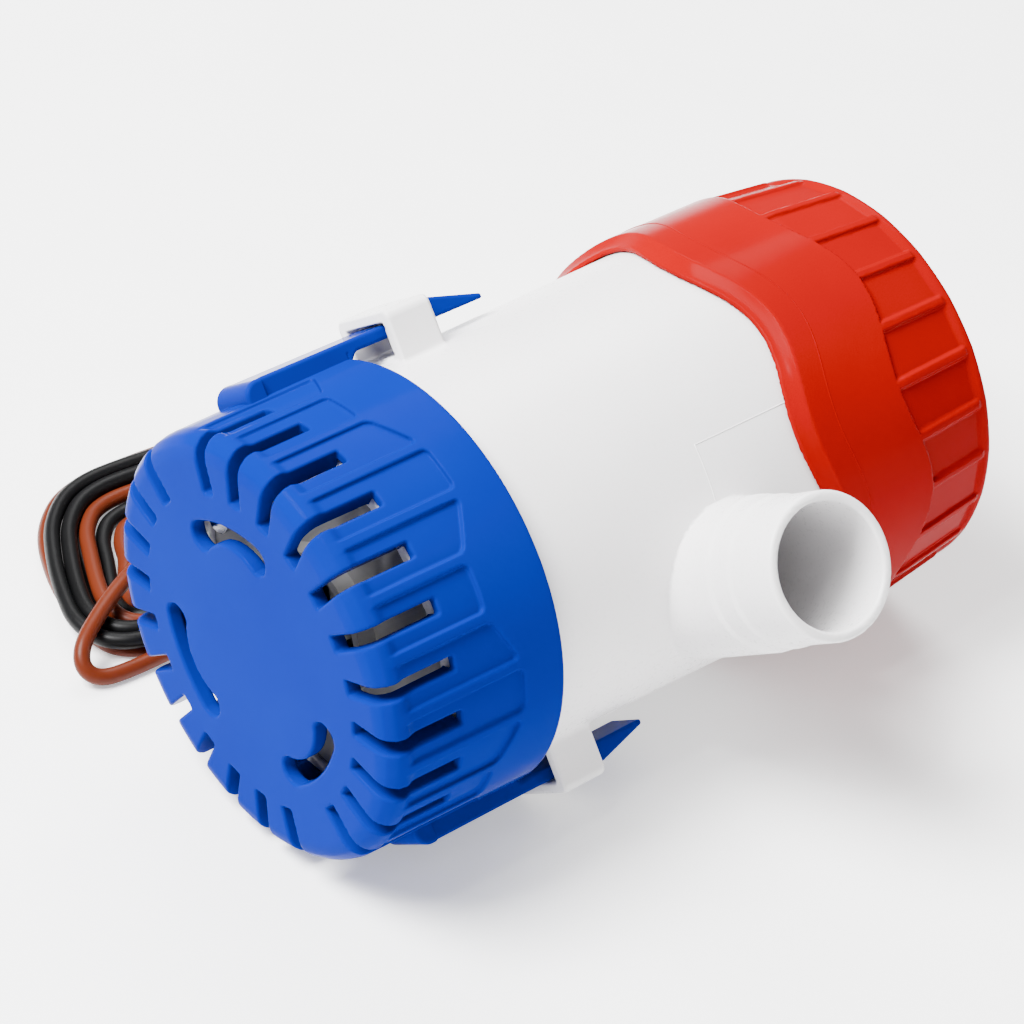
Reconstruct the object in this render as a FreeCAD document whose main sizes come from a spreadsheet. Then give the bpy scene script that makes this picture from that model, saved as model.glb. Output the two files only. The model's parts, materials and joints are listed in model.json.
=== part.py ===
"""Cartridge bilge pump: strainer basket, housing, cap, sealed motor and impeller.

The pump is drawn standing on its strainer, with its axis along local +Z, the discharge
nozzle along local +X and the lower latch on local +Y, and is then laid on its side:
its axis runs along +X and it rests on its rims and on the corner of the lower latch loop.
All sizes are in millimetres.
"""
import FreeCAD, Part
import math
import os
import Sketcher
from FreeCAD import Placement, Rotation, Vector

SIZES = {
    # strainer basket
    "basket_radius": 30.0,
    "basket_draft": 1.0,
    "basket_height": 27.5,
    "basket_collar": 2.4,
    "basket_wall": 3.0,
    "basket_fit": 27.4,
    "basket_seat": 11.8,
    "basket_floor": 2.2,
    "basket_corner": 4.5,
    "basket_bevel": 1.35,
    "basket_fillet": 2.25,
    "slot_width": 2.1,
    "slot_inner": 22.0,
    "slot_top": 11.6,
    "foot_slot_circle": 16.2,
    "foot_slot_width": 3.6,
    "foot_slot_sweep": 43.0,
    "foot_slot_turn": 69.0,
    # latch arms and the loops that hold them
    "arm_inner": 30.3,
    "arm_outer": 32.1,
    "arm_width": 8.6,
    "arm_start": 12.0,
    "arm_pivot": 28.7,
    "arm_end": 48.7,
    "barb_start": 40.5,
    "barb_radius": 33.6,
    "barb_tip": 0.7,
    "loop_start": 33.2,
    "loop_length": 7.0,
    "loop_width": 13.0,
    "loop_radius": 34.1,
    "loop_corner": 1.3,
    "window_width": 9.4,
    "window_inner": 27.8,
    "window_outer": 32.45,
    # housing and discharge nozzle
    "housing_start": 12.0,
    "housing_end": 79.0,
    "housing_radius": 26.95,
    "housing_top_radius": 28.5,
    "housing_wall": 2.0,
    "nozzle_height": 57.2,
    "nozzle_offset": 14.3,
    "nozzle_reach": 46.0,
    "nozzle_inside": 8.0,
    "nozzle_bore": 8.27,
    "nozzle_radius": 9.64,
    "nozzle_step_radius": 9.95,
    "nozzle_root_radius": 10.27,
    "nozzle_step": 37.5,
    "nozzle_root": 33.5,
    # intake plate and its screws
    "plate_start": 12.8,
    "plate_thick": 2.0,
    "eye_radius": 9.0,
    "eye_wall": 1.4,
    "eye_drop": 2.6,
    "plate_screw_circle": 22.4,
    "plate_boss": 2.9,
    "screw_radius": 1.3,
    "screw_head": 2.4,
    "screw_head_thick": 1.6,
    "screw_length": 9.0,
    # cap
    "cap_radius": 30.6,
    "cap_top_radius": 29.3,
    "cap_edge": 73.0,
    "cap_wave": 1.5,
    "cap_band": 91.0,
    "cap_height": 105.0,
    "cap_wall": 2.3,
    "cap_fit": 0.1,
    "cap_bevel": 1.4,
    "band_step": 0.4,
    "rib_width": 1.4,
    "rib_depth": 0.7,
    "rib_margin": 1.6,
    # sealed motor canister
    "canister_start": 25.0,
    "canister_floor": 2.5,
    "canister_radius": 20.6,
    "canister_wall": 1.7,
    "flange_radius": 27.6,
    "flange_thick": 2.5,
    "seal_margin": 1.0,
    "groove_width": 1.8,
    "groove_depth": 1.62,
    "ring_radius": 0.79,
    # motor
    "motor_radius": 17.9,
    "motor_wall": 1.1,
    "motor_start": 27.6,
    "motor_end": 77.0,
    "frame_thick": 1.5,
    "bell_thick": 2.5,
    "boss_radius": 5.0,
    "boss_height": 3.0,
    "magnet_thick": 2.4,
    "magnet_sweep": 130.0,
    "magnet_start": 36.0,
    "magnet_length": 26.0,
    "shaft_radius": 1.5875,
    "shaft_start": 16.0,
    "shaft_end": 81.5,
    "running_gap": 0.05,
    "glue_gap": 0.05,
    "bush_radius": 3.2,
    "bush_length": 4.0,
    "core_radius": 13.7,
    "core_start": 37.5,
    "core_length": 22.0,
    "core_slot": 5.0,
    "core_slot_depth": 8.5,
    "winding_rise": 3.2,
    "winding_inner": 3.2,
    "winding_inset": 1.0,
    "commutator_radius": 4.2,
    "commutator_start": 66.0,
    "commutator_length": 7.0,
    "brush_thick": 3.0,
    "brush_length": 5.0,
    "brush_gap": 0.3,
    "brush_height": 4.0,
    "brush_arm_thick": 0.5,
    "terminal_width": 2.8,
    "terminal_thick": 0.6,
    "terminal_circle": 9.8,
    "terminal_rise": 6.0,
    # impeller and shaft seal
    "impeller_start": 16.2,
    "impeller_radius": 19.0,
    "impeller_disc": 1.6,
    "impeller_height": 6.2,
    "impeller_hub": 4.2,
    "vane_thick": 1.5,
    "vane_inner": 7.0,
    "seal_radius": 4.5,
    "seal_length": 2.4,
    # grommet and leads
    "grommet_circle": 15.0,
    "grommet_turn": 225.0,
    "grommet_radius": 4.4,
    "grommet_neck": 3.2,
    "grommet_rise": 8.0,
    "grommet_flange": 1.5,
    "lead_radius": 1.2,
    "lead_gap": 3.2,
    "inner_lead_rise": 4.0,
    "hank_thick": 7.4,
    "hank_band": 13.5,
    "hank_far": 82.0,
    "hank_middle": -5.0,
    "tie_width": 4.0,
    "tie_wall": 0.8,
    "tip_radius": 0.75,
    "tip_length": 7.0,
}
SLOT_PITCH = 15.0
RIB_COUNT = 24
WAVES = 6
VANES = 5
POLES = 3
PLATE_SCREWS = 4
PLATE_SCREW_TURN = 45.0
# how far a block that cuts, or is joined inside a wall, runs past the surface
OVER = 1.0
# how much of the shorter run beside it an arc takes up
ARC_REACH = 0.45
# each lead: the side of its hole in the grommet, its terminal, its run inside the cap and
# its free route down behind the pump; the free route is in the frame the pump lies in
LEADS = {
    "black": {
        "side": -1,
        "terminal": 180.0,
        "inside": [(-11.4, 0.0, 80.5), (-11.4, 0.0, 88.0), (-11.7, -5.5, 94.5)],
        "route": [(61.5, 25.2, 30.8), (67.5, 27.0, 29.0), (72.5, 31.5, 25.0), (74.5, 38.5, 19.0),
                  (74.0, 46.5, 13.0), (71.0, 54.2, 8.0), (66.5, 61.5, 4.4), (60.5, 68.8, 2.3),
                  (52.0, 74.6, 1.5), (41.5, 76.8, 1.3)],
        "tip": (47.8, 43.0),
    },
    "brown": {
        "side": 1,
        "terminal": 0.0,
        "inside": [(11.4, 0.0, 80.5), (11.4, 0.0, 88.0), (3.0, -7.0, 92.5), (-7.0, -11.5, 95.5)],
        "route": [(62.0, 24.8, 34.0), (69.0, 26.6, 32.2), (75.0, 31.2, 27.8), (77.6, 38.8, 21.5),
                  (77.4, 47.2, 15.2), (74.6, 55.6, 9.8), (70.0, 63.4, 5.6), (63.8, 71.0, 2.9),
                  (55.0, 77.0, 1.6), (43.5, 79.3, 1.3)],
        "tip": (45.5, 40.8),
    },
}
# corners of the hank's outline and of the hole through it, from the near run's middle round
# the strainer's end, along the far run and round the cap's end, where the pump lies
HANK_OUTLINE = [(-5.0, 44.4), (-57.5, 44.4), (-50.0, 70.0), (-42.0, 82.8), (44.0, 79.8),
                (51.2, 71.5), (51.2, 54.0), (44.0, 44.4)]
HANK_HOLE = [(-5.0, 57.9), (-42.5, 57.9), (-38.0, 65.5), (-34.0, 69.2), (37.0, 66.5),
             (38.5, 63.5), (38.0, 59.5), (34.0, 57.9)]

doc = FreeCAD.newDocument("BilgePump")
sheet = doc.addObject("Spreadsheet::Sheet", "Sizes")
for row, (word, number) in enumerate(SIZES.items(), start=1):
    sheet.set(f"A{row}", word)
    sheet.set(f"B{row}", str(number))
    sheet.setAlias(f"B{row}", word)
doc.recompute()


class Dim:
    """A size in mm together with the sheet formula that gives it."""

    def __init__(self, value, text):
        self.value = value
        self.text = text

    def join(self, other, sign, value):
        other = other if isinstance(other, Dim) else Dim(other, str(other))
        return Dim(value(self.value, other.value), f"({self.text} {sign} {other.text})")

    def __add__(self, other):
        return self.join(other, "+", lambda a, b: a + b)

    def __sub__(self, other):
        return self.join(other, "-", lambda a, b: a - b)

    def __mul__(self, other):
        return self.join(other, "*", lambda a, b: a * b)

    def __truediv__(self, other):
        return self.join(other, "/", lambda a, b: a / b)


class Dims:
    """Every cell of the sheet as a Dim, by its alias."""

    def __getattr__(self, word):
        return Dim(float(sheet.get(word)), f"Sizes.{word}")


dims = Dims()
ZERO = Dim(0.0, "0")
nodes = []


# ---- building blocks -------------------------------------------------------------------

def bind(obj, **sizes):
    """Tie properties of an object to the sheet."""
    for word, size in sizes.items():
        obj.setExpression(word, size.text)
    return obj


def put(obj, x=0.0, y=0.0, z=0.0, turn=0.0, tilt=None):
    """Move an object to x, y, z, tilted there, and turn the whole about the pump's axis."""
    around = Placement(Vector(0, 0, 0), Rotation(Vector(0, 0, 1), turn))
    obj.Placement = around * Placement(Vector(x, y, z), tilt or Rotation())
    return obj


def cylinder(radius, low, high, x=0.0, y=0.0, turn=0.0):
    """A cylinder along the pump's axis from height low to height high."""
    obj = bind(doc.addObject("Part::Cylinder", "Cylinder"), Radius=radius, Height=high - low)
    return put(obj, x, y, low.value, turn)


def radial_cylinder(radius, inner, outer, z, y=0.0, turn=0.0):
    """A cylinder square to the pump's axis, from distance inner to distance outer."""
    obj = bind(doc.addObject("Part::Cylinder", "Bar"), Radius=radius, Height=outer - inner)
    return put(obj, inner.value, y, z.value, turn, Rotation(Vector(0, 1, 0), 90))


def box(inner, outer, width, low, high, turn=0.0, y=0.0):
    """A block from radius inner to outer, centred across, from height low to high."""
    obj = doc.addObject("Part::Box", "Block")
    bind(obj, Length=outer - inner, Width=width, Height=high - low)
    return put(obj, inner.value, y - width.value / 2, low.value, turn)


def turned(outline, name="Turned", sweep=360.0, start=0.0):
    """A body of revolution from an outline of (radius, height) sizes, sketched in XZ."""
    body = doc.addObject("PartDesign::Body", name)
    sketch = body.newObject("Sketcher::SketchObject", f"{name}Outline")
    plane = next(f for f in body.Origin.OriginFeatures if f.Role == "XZ_Plane")
    sketch.AttachmentSupport = (plane, [""])
    sketch.MapMode = "FlatFace"
    corners = [Vector(radius.value, height.value, 0) for radius, height in outline]
    count = len(corners)
    for index in range(count):
        line = Part.LineSegment(corners[index], corners[(index + 1) % count])
        sketch.addGeometry(line, False)
    for index in range(count):
        following = (index + 1) % count
        sketch.addConstraint(Sketcher.Constraint("Coincident", index, 2, following, 1))
    for index, (radius, height) in enumerate(outline):
        for kind, size, axis in (("DistanceX", radius, -2), ("DistanceY", height, -1)):
            if size.value == 0:
                sketch.addConstraint(Sketcher.Constraint("PointOnObject", index, 1, axis))
                continue
            rule = Sketcher.Constraint(kind, -1, 1, index, 1, size.value)
            number = sketch.addConstraint(rule)
            sketch.setExpression(f"Constraints[{number}]", size.text)
    revolution = body.newObject("PartDesign::Revolution", f"{name}Turn")
    revolution.Profile = sketch
    revolution.ReferenceAxis = (sketch, ["V_Axis"])
    revolution.Angle = sweep
    body.Tip = revolution
    return body if start == 0 else put(body, turn=start)


def fused(parts):
    """All the parts joined into one solid."""
    if len(parts) == 1:
        return parts[0]
    obj = doc.addObject("Part::MultiFuse", "Joined")
    obj.Shapes = parts
    return obj


def cut(base, tools):
    """The base with all the tools taken away."""
    obj = doc.addObject("Part::Cut", "Cut")
    obj.Base = base
    obj.Tool = fused(tools)
    return obj


def tube_ring(inner, outer, low, high):
    """A plain ring, from radius inner to outer."""
    return turned([(inner, low), (outer, low), (outer, high), (inner, high)], "Ring")


def node(label, obj):
    """Keep an object as one of the pump's pieces under its own name."""
    obj.Label = label
    nodes.append(obj)
    return obj


# ---- strainer basket and its latch arms ------------------------------------------------

def strainer_basket():
    """The slotted cup that keeps debris out; its 22 slots leave a bar at each latch."""
    low_radius = dims.basket_radius - dims.basket_draft
    corner = dims.basket_corner
    wall = dims.basket_wall
    cup = turned([
        (ZERO, ZERO),
        (low_radius - corner, ZERO),
        (low_radius - dims.basket_bevel, dims.basket_bevel),
        (low_radius, corner),
        (dims.basket_radius, dims.basket_height),
        (dims.basket_radius - dims.basket_collar, dims.basket_height),
        (dims.basket_fit, dims.basket_seat),
        (low_radius - wall, dims.basket_seat),
        (low_radius - wall, corner),
        (low_radius - wall - dims.basket_fillet, dims.basket_floor),
        (ZERO, dims.basket_floor),
    ], "Cup")
    pads = [
        box(low_radius - OVER, dims.arm_outer, dims.arm_width, dims.arm_start,
            dims.basket_height, turn)
        for turn in (90, 270)
    ]
    slots = []
    for step in range(24):
        turn = step * SLOT_PITCH
        if turn % 180 != 90:
            slots.append(box(dims.slot_inner, dims.basket_radius + OVER, dims.slot_width,
                             ZERO - OVER, dims.slot_top, turn))
    half = dims.foot_slot_width / 2
    foot_slots = []
    for turn in (180.0, SIZES["foot_slot_turn"], -SIZES["foot_slot_turn"]):
        sweep = SIZES["foot_slot_sweep"]
        start = turn - sweep / 2
        foot_slots.append(turned([
            (dims.foot_slot_circle - half, ZERO - OVER),
            (dims.foot_slot_circle + half, ZERO - OVER),
            (dims.foot_slot_circle + half, dims.basket_floor + OVER),
            (dims.foot_slot_circle - half, dims.basket_floor + OVER),
        ], "FootSlot", sweep, start))
        for end in (start, start + sweep):
            foot_slots.append(cylinder(half, ZERO - OVER, dims.basket_floor + OVER,
                                       dims.foot_slot_circle.value, 0, end))
    node("strainer_basket", cut(fused([cup, *pads]), [*slots, *foot_slots]))


def latch_arm(label, turn):
    """A spring arm with a wedge barb that catches behind its loop on the housing."""
    half_thick = (dims.arm_outer - dims.arm_inner) / 2
    middle = dims.arm_inner + half_thick
    bar = box(dims.arm_inner, dims.arm_outer, dims.arm_width, dims.arm_pivot,
              dims.barb_start, turn)
    root = bind(doc.addObject("Part::Cylinder", "Root"), Radius=half_thick,
                Height=dims.arm_width)
    put(root, middle.value, dims.arm_width.value / 2, dims.arm_pivot.value, turn,
        Rotation(Vector(1, 0, 0), 90))
    barb = doc.addObject("Part::Wedge", "Barb")
    bind(barb, Xmin=ZERO, Xmax=dims.barb_radius - dims.arm_inner, X2min=ZERO,
         X2max=dims.barb_tip, Ymin=ZERO, Ymax=dims.arm_end - dims.barb_start, Zmin=ZERO,
         Zmax=dims.arm_width, Z2min=ZERO, Z2max=dims.arm_width)
    put(barb, dims.arm_inner.value, dims.arm_width.value / 2, dims.barb_start.value, turn,
        Rotation(Vector(1, 0, 0), 90))
    node(label, fused([bar, root, barb]))


# ---- housing and intake plate ----------------------------------------------------------

def pump_housing():
    """The white barrel with its tangential hose nozzle and the two latch loops."""
    barrel = turned([
        (ZERO, dims.housing_start),
        (dims.housing_radius, dims.housing_start),
        (dims.housing_top_radius, dims.housing_end),
        (ZERO, dims.housing_end),
    ], "Barrel")
    side = SIZES["nozzle_offset"]
    level = dims.nozzle_height
    nozzle = [
        radial_cylinder(dims.nozzle_radius, dims.nozzle_inside, dims.nozzle_reach, level, side),
        radial_cylinder(dims.nozzle_step_radius, dims.nozzle_inside, dims.nozzle_step, level,
                        side),
        radial_cylinder(dims.nozzle_root_radius, dims.nozzle_inside, dims.nozzle_root, level,
                        side),
    ]
    loop_end = dims.loop_start + dims.loop_length
    loops = [piece for turn in (90, 270) for piece in loop_blocks(loop_end, turn)]
    windows = [
        box(dims.window_inner, dims.window_outer, dims.window_width, dims.loop_start - OVER,
            loop_end + OVER, turn)
        for turn in (90, 270)
    ]
    bore = radial_cylinder(dims.nozzle_bore, dims.nozzle_inside, dims.nozzle_reach + OVER, level,
                           side)
    wall = dims.housing_wall
    cavity = turned([
        (ZERO, dims.housing_start - OVER),
        (dims.housing_radius - wall, dims.housing_start - OVER),
        (dims.housing_top_radius - wall, dims.housing_end + OVER),
        (ZERO, dims.housing_end + OVER),
    ], "Cavity")
    bosses = [
        cut(cylinder(dims.plate_boss, dims.plate_start + dims.plate_thick,
                     dims.plate_start + dims.screw_length + OVER,
                     dims.plate_screw_circle.value, 0, turn),
            [cylinder(dims.screw_radius, dims.plate_start, dims.plate_start + dims.screw_length,
                      dims.plate_screw_circle.value, 0, turn)])
        for turn in plate_screw_turns()
    ]
    shell = cut(fused([barrel, *nozzle, *loops]), [cavity, bore, *windows])
    node("pump_housing", fused([shell, *bosses]))


def loop_blocks(loop_end, turn):
    """A latch loop before its window is cut: a block with its two outer edges rounded."""
    corner = dims.loop_corner
    start = dims.loop_start
    inner = dims.housing_radius - OVER
    side = dims.loop_width / 2 - corner
    across = (-side.value, side.value)
    centre = (dims.loop_radius - corner).value
    return [
        box(inner, dims.loop_radius - corner, dims.loop_width, start, loop_end, turn),
        box(inner, dims.loop_radius, dims.loop_width - corner * 2, start, loop_end, turn),
        *(cylinder(corner, start, loop_end, centre, y, turn) for y in across),
    ]


def plate_screw_turns():
    """Where the intake plate's screws sit round the pump's axis."""
    pitch = 360.0 / PLATE_SCREWS
    return [PLATE_SCREW_TURN + pitch * number for number in range(PLATE_SCREWS)]


def intake_plate():
    """The plate with the inlet eye that closes the impeller chamber, and its screws."""
    start = dims.plate_start
    end = start + dims.plate_thick
    outer = dims.housing_radius - dims.housing_wall - dims.glue_gap
    disc = turned([
        (dims.eye_radius, start - dims.eye_drop),
        (dims.eye_radius + dims.eye_wall, start - dims.eye_drop),
        (dims.eye_radius + dims.eye_wall, start),
        (outer, start),
        (outer, end),
        (dims.eye_radius, end),
    ], "Plate")
    circle = dims.plate_screw_circle.value
    holes = [
        cylinder(dims.screw_radius + dims.glue_gap, start - OVER, end + OVER, circle, 0, turn)
        for turn in plate_screw_turns()
    ]
    node("intake_plate", cut(disc, holes))
    screws = []
    for turn in plate_screw_turns():
        head = cylinder(dims.screw_head, start - dims.screw_head_thick, start, circle, 0, turn)
        shank = cylinder(dims.screw_radius - dims.glue_gap, start, start + dims.screw_length,
                         circle, 0, turn)
        screws.append(fused([head, shank]))
    node("intake_plate_screws", fused(screws))


# ---- cap, grommet and leads inside it --------------------------------------------------

def top_cap():
    """The red cap with a scalloped skirt, a ribbed grip band and the grommet's hole."""
    fit = dims.housing_top_radius + dims.cap_fit
    roof = dims.cap_height - dims.cap_wall
    inner = dims.cap_top_radius - dims.rib_depth - dims.cap_wall
    band_top = dims.cap_height - dims.rib_margin
    skirt = turned([
        (fit, dims.cap_edge - dims.cap_wave),
        (dims.cap_radius - dims.cap_bevel, dims.cap_edge - dims.cap_wave),
        (dims.cap_radius, dims.cap_edge + dims.cap_bevel),
        (dims.cap_radius, dims.cap_band),
        (dims.cap_radius - dims.rib_depth, dims.cap_band + dims.band_step),
        (dims.cap_top_radius - dims.rib_depth, band_top),
        (dims.cap_top_radius - dims.rib_depth - dims.cap_bevel, dims.cap_height),
        (ZERO, dims.cap_height),
        (ZERO, roof),
        (inner, roof),
        (inner, dims.housing_end + dims.flange_thick + dims.glue_gap),
        (fit, dims.housing_end + dims.flange_thick + dims.glue_gap),
    ], "Skirt")
    lean = math.degrees(math.atan2(
        dims.cap_radius.value - dims.cap_top_radius.value,
        band_top.value - dims.cap_band.value))
    ribs = []
    for step in range(RIB_COUNT):
        rib = doc.addObject("Part::Box", "Rib")
        bind(rib, Length=dims.rib_depth * 2, Width=dims.rib_width,
             Height=band_top - dims.cap_band)
        put(rib, dims.cap_radius.value - 2 * dims.rib_depth.value, -dims.rib_width.value / 2,
            dims.cap_band.value, step * 360.0 / RIB_COUNT, Rotation(Vector(0, 1, 0), -lean))
        ribs.append(rib)
    # each scallop is the top of a large circle seen square to the skirt
    reach = dims.cap_radius.value * math.pi / WAVES
    rise = 2 * dims.cap_wave.value
    scallop_radius = (reach * reach + rise * rise) / (2 * rise)
    crest = dims.cap_edge.value + dims.cap_wave.value
    scallops = []
    for wave in range(WAVES):
        scallop = bind(doc.addObject("Part::Cylinder", "Scallop"),
                       Radius=Dim(scallop_radius, str(scallop_radius)), Height=dims.cap_wall * 3)
        put(scallop, dims.cap_radius.value - 2 * dims.cap_wall.value, 0,
            crest - scallop_radius, 360.0 / WAVES * (wave + 0.5), Rotation(Vector(0, 1, 0), 90))
        scallops.append(scallop)
    hole = cylinder(dims.grommet_neck + dims.glue_gap, roof - OVER, dims.cap_height + OVER,
                    dims.grommet_circle.value, 0, dims.grommet_turn.value)
    node("top_cap", cut(fused([skirt, *ribs]), [*scallops, hole]))


def lead_hole(lead):
    """How far a lead's hole is from the grommet's centre, across the grommet."""
    return lead["side"] * dims.lead_gap.value / 2


def lead_grommet():
    """The rubber grommet in the cap, with a tapered nose and one hole for each lead."""
    roof = dims.cap_height - dims.cap_wall
    nose = dims.cap_height + dims.grommet_rise
    gap = dims.glue_gap
    blank = turned([
        (ZERO, roof - dims.grommet_flange),
        (dims.grommet_radius, roof - dims.grommet_flange),
        (dims.grommet_radius, roof - gap),
        (dims.grommet_neck, roof - gap),
        (dims.grommet_neck, dims.cap_height + gap),
        (dims.grommet_radius, dims.cap_height + gap),
        (dims.grommet_radius, dims.cap_height + dims.grommet_flange),
        (dims.grommet_neck, nose),
        (ZERO, nose),
    ], "Grommet")
    put(blank, dims.grommet_circle.value, 0, 0, dims.grommet_turn.value)
    holes = [
        cylinder(dims.lead_radius, roof - dims.grommet_flange - OVER, nose + OVER,
                 dims.grommet_circle.value, lead_hole(lead), dims.grommet_turn.value)
        for lead in LEADS.values()
    ]
    node("lead_grommet", cut(blank, holes))


# ---- sealed motor ----------------------------------------------------------------------

def motor_canister():
    """The watertight cup round the motor, with its flange, and the two rings that seal it."""
    start = dims.canister_start
    floor = start + dims.canister_floor
    flange = dims.housing_end + dims.glue_gap
    inner = dims.canister_radius - dims.canister_wall
    groove_outer = dims.flange_radius - dims.seal_margin
    groove_inner = groove_outer - dims.groove_width
    groove_top = flange + dims.groove_depth
    node("motor_canister", turned([
        (dims.seal_radius + dims.glue_gap, start),
        (dims.canister_radius, start),
        (dims.canister_radius, flange),
        (groove_inner, flange),
        (groove_inner, groove_top),
        (groove_outer, groove_top),
        (groove_outer, flange),
        (dims.flange_radius, flange),
        (dims.flange_radius, flange + dims.flange_thick - dims.glue_gap),
        (inner, flange + dims.flange_thick - dims.glue_gap),
        (inner, floor),
        (dims.seal_radius + dims.glue_gap, floor),
    ], "Canister"))
    ring = bind(doc.addObject("Part::Torus", "Ring"),
                Radius1=groove_inner + dims.groove_width / 2, Radius2=dims.ring_radius)
    put(ring, z=(flange + dims.groove_depth / 2).value)
    node("canister_o_ring", ring)
    node("shaft_seal", turned([
        (dims.shaft_radius + dims.running_gap, start),
        (dims.seal_radius, start),
        (dims.seal_radius, start + dims.seal_length),
        (dims.shaft_radius + dims.running_gap, start + dims.seal_length),
    ], "Seal"))


def motor_shell():
    """The steel can with its end frame, its rear bell and the two bushings they hold."""
    start = dims.motor_start
    end = dims.motor_end
    wall = dims.motor_wall
    gap = dims.glue_gap
    node("motor_can", tube_ring(dims.motor_radius - wall, dims.motor_radius, start, end))
    node("motor_end_frame", turned([
        (dims.bush_radius + gap, start),
        (dims.motor_radius - wall - gap, start),
        (dims.motor_radius - wall - gap, start + dims.frame_thick),
        (dims.boss_radius, start + dims.frame_thick),
        (dims.boss_radius, start + dims.bush_length),
        (dims.bush_radius + gap, start + dims.bush_length),
    ], "Frame"))
    bell_start = end - dims.bell_thick
    bell = turned([
        (dims.bush_radius + gap, bell_start),
        (dims.motor_radius - wall - gap, bell_start),
        (dims.motor_radius - wall - gap, end),
        (dims.boss_radius, end),
        (dims.boss_radius, end + dims.boss_height),
        (dims.bush_radius + gap, end + dims.boss_height),
    ], "Bell")
    tab_slots = [
        box(dims.terminal_circle - dims.terminal_thick / 2 - gap,
            dims.terminal_circle + dims.terminal_thick / 2 + gap,
            dims.terminal_width + gap * 2, bell_start - OVER, end + OVER, turn)
        for turn in (0, 180)
    ]
    node("motor_rear_bell", cut(bell, tab_slots))
    node("lower_bushing", tube_ring(dims.shaft_radius + dims.running_gap, dims.bush_radius,
                                    start, start + dims.bush_length))
    node("upper_bushing", tube_ring(dims.shaft_radius + dims.running_gap, dims.bush_radius,
                                    end, end + dims.boss_height))


def field_magnets():
    """The two arc magnets glued inside the can."""
    outer = dims.motor_radius - dims.motor_wall - dims.glue_gap
    low = dims.magnet_start
    high = low + dims.magnet_length
    sweep = SIZES["magnet_sweep"]
    for label, middle in (("north_magnet", 0.0), ("south_magnet", 180.0)):
        node(label, turned([
            (outer - dims.magnet_thick, low),
            (outer, low),
            (outer, high),
            (outer - dims.magnet_thick, high),
        ], "Magnet", sweep, middle - sweep / 2 + 360))


def brush_gear():
    """Two carbon brushes, the spring arms behind them and the terminals they join."""
    inner = dims.commutator_radius + dims.brush_gap
    outer = inner + dims.brush_length
    middle = dims.commutator_start + dims.commutator_length / 2
    low = middle - dims.brush_height / 2
    high = middle + dims.brush_height / 2
    bell_start = dims.motor_end - dims.bell_thick
    gap = dims.glue_gap
    for label, turn in (("positive", 0), ("negative", 180)):
        node(f"{label}_brush", box(inner, outer, dims.brush_thick, low, high, turn))
        node(f"{label}_brush_arm", box(outer + gap, outer + gap + dims.brush_arm_thick,
                                       dims.brush_thick, low, bell_start - gap, turn))
        node(f"{label}_terminal", box(dims.terminal_circle - dims.terminal_thick / 2,
                                      dims.terminal_circle + dims.terminal_thick / 2,
                                      dims.terminal_width, bell_start,
                                      dims.motor_end + dims.terminal_rise, turn))


def rotor():
    """Shaft, laminated core, windings and commutator, and the impeller on the shaft's end."""
    node("motor_shaft", cylinder(dims.shaft_radius, dims.shaft_start, dims.shaft_end))
    bore = dims.shaft_radius
    low = dims.core_start
    high = low + dims.core_length
    slots = [
        box(dims.core_radius - dims.core_slot_depth, dims.core_radius + OVER, dims.core_slot,
            low - OVER, high + OVER, 360.0 / POLES * number + 90)
        for number in range(POLES)
    ]
    node("armature_core", cut(tube_ring(bore, dims.core_radius, low, high), slots))
    gap = dims.glue_gap
    coil_inner = dims.winding_inner
    coil_outer = dims.core_radius - dims.winding_inset
    rise = dims.winding_rise
    bars = [
        box(dims.core_radius - dims.core_slot_depth + gap, coil_outer,
            dims.core_slot - gap * 2, low - rise, high + rise, 360.0 / POLES * number + 90)
        for number in range(POLES)
    ]
    ends = [
        tube_ring(coil_inner, coil_outer, low - rise, low - gap),
        tube_ring(coil_inner, coil_outer, high + gap, high + rise),
    ]
    node("armature_windings", fused([*ends, *bars]))
    start = dims.commutator_start
    node("commutator", tube_ring(bore, dims.commutator_radius, start,
                                 start + dims.commutator_length))
    base = dims.impeller_start
    top = base + dims.impeller_height
    hub = tube_ring(bore, dims.impeller_hub, base, top)
    disc = tube_ring(bore, dims.impeller_radius, top - dims.impeller_disc, top)
    vanes = [
        put(bind(doc.addObject("Part::Box", "Vane"),
                 Length=dims.impeller_radius - dims.vane_inner, Width=dims.vane_thick,
                 Height=dims.impeller_height - dims.impeller_disc / 2),
            dims.vane_inner.value, -dims.vane_thick.value / 2, base.value,
            360.0 / VANES * number)
        for number in range(VANES)
    ]
    node("impeller", fused([hub, disc, *vanes]))


def arc_path(points):
    """Straight runs between the points, joined at each by the largest arc that fits."""
    points = [Vector(*point) for point in points]
    edges = []
    radii = []
    start = points[0]
    for before, point, after in zip(points, points[1:], points[2:]):
        arriving = (point - before).normalize()
        leaving = (after - point).normalize()
        turn = arriving.getAngle(leaving)
        reach = ARC_REACH * min((point - before).Length, (after - point).Length)
        radius = reach / math.tan(turn / 2)
        first = point - arriving * reach
        last = point + leaving * reach
        inward = (leaving - arriving).normalize()
        centre = point + inward * (radius / math.cos(turn / 2))
        edges.append(Part.LineSegment(start, first).toShape())
        edges.append(Part.Arc(first, centre - inward * radius, last).toShape())
        radii.append(radius)
        start = last
    edges.append(Part.LineSegment(start, points[-1]).toShape())
    return Part.Wire(edges), radii


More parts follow.
